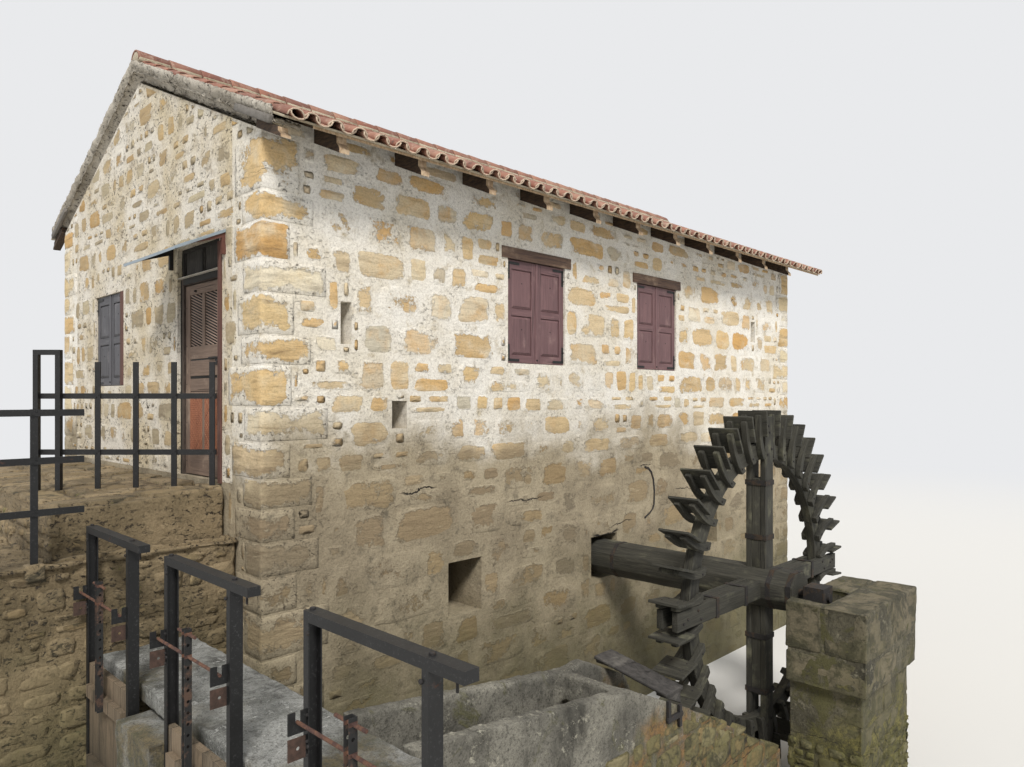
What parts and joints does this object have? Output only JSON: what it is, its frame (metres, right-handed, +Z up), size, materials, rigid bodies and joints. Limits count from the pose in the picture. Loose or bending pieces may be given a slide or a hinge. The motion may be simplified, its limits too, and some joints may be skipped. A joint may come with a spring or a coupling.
{
  "type": "watermill",
  "caption": "Rubble-stone watermill with tiled gable roof, side water wheel on a stone pier, flume, sluice gates and a door terrace with railings.",
  "frame": {"origin": "bottom centre of the whole part's bounding box", "axes": "+X along the wall beside the water, away from the door gable; +Y from the wheel into the building; +Z up"},
  "size_m": [14.15, 11.3515, 8.7586],
  "materials": {
    "rubble_stone": "rough rubble with pale lime mortar",
    "weathered_stone": "weathered rubble, mossy near the water",
    "gable_stone": "rubble in pale pitted mortar",
    "mossy_stone": "large mossy blocks",
    "concrete": "weathered concrete with lichen",
    "verge_mortar": "rough grey mortar coping",
    "clay_tile": "weathered terracotta",
    "roof_timber": "dark brown stained timber",
    "floor_timber": "old boards",
    "shutter_paint": "faded plum-brown stain",
    "shutter_grey": "faded blue-grey stain",
    "frame_wood": "red-brown stain",
    "door_wood": "faded grey-brown stain",
    "sheet_metal": "dull bluish sheet",
    "black_steel": "black paint with rust",
    "gate_wood": "wet weathered boards",
    "wheel_wood": "dark weathered wood with lichen",
    "wheel_iron": "rusted iron"
  },
  "bodies": {
    "mill": {"waterside_wall_lower": "weathered_stone", "waterside_wall_upper": "rubble_stone", "back_wall": "rubble_stone", "far_gable_wall": "rubble_stone", "door_gable_lower": "weathered_stone", "door_gable_left": "gable_stone", "door_gable_right": "gable_stone", "door_gable_over": "gable_stone", "mill_floor": "floor_timber", "ridge_beam": "roof_timber", "rafters": "roof_timber", "roof_boards": "roof_timber", "waterside_tiles": "clay_tile", "back_tiles": "clay_tile", "ridge_tiles": "clay_tile", "verge_stones": "verge_mortar", "window_lintels": "roof_timber", "window_frames": "frame_wood", "waterside_shutters": "shutter_paint", "back_shutters": "shutter_paint", "gable_shutters": "shutter_grey", "door_frame": "frame_wood", "door_transom": "door_wood", "door_canopy": "sheet_metal", "terrace": "weathered_stone", "bank_wall": "weathered_stone", "terrace_railing": "black_steel", "bank_railing": "black_steel", "sluice_sill": "concrete", "sluice_piers": "concrete", "sluice_deck": "concrete", "gate_frames": "black_steel", "flume_bed": "concrete", "flume_walls": "concrete", "flume_cover": "gate_wood", "wheel_pier": "mossy_stone", "shaft_bearings": "wheel_iron"},
    "wheel": {"wheel_shaft": "wheel_wood", "wheel_irons": "wheel_iron", "wheel_arms": "wheel_wood", "wheel_rim": "wheel_wood", "wheel_starts": "wheel_wood", "wheel_floats": "wheel_wood"},
    "door": {"door_leaf": "door_wood"},
    "bank_sluice": {"bank_gate": "gate_wood"},
    "middle_sluice": {"middle_gate": "gate_wood"},
    "outer_sluice": {"outer_gate": "gate_wood"}
  },
  "joints": [
    {"name": "wheel_spin", "type": "hinge", "parent": "mill", "child": "wheel", "pos_m": [0.715, -3.4592, 2.29], "axis": [0, 1, 0], "continuous": true},
    {"name": "door_swing", "type": "hinge", "parent": "mill", "child": "door", "pos_m": [-4.335, 0.7517, 3.95], "axis": [0, 0, 1], "range_deg": [0, 90]},
    {"name": "bank_gate_lift", "type": "slide", "parent": "mill", "child": "bank_sluice", "axis": [0, 0, 1], "range_m": [0, 0.45]},
    {"name": "middle_gate_lift", "type": "slide", "parent": "mill", "child": "middle_sluice", "axis": [0, 0, 1], "range_m": [0, 0.45]},
    {"name": "outer_gate_lift", "type": "slide", "parent": "mill", "child": "outer_sluice", "axis": [0, 0, 1], "range_m": [0, 0.45]}
  ]
}
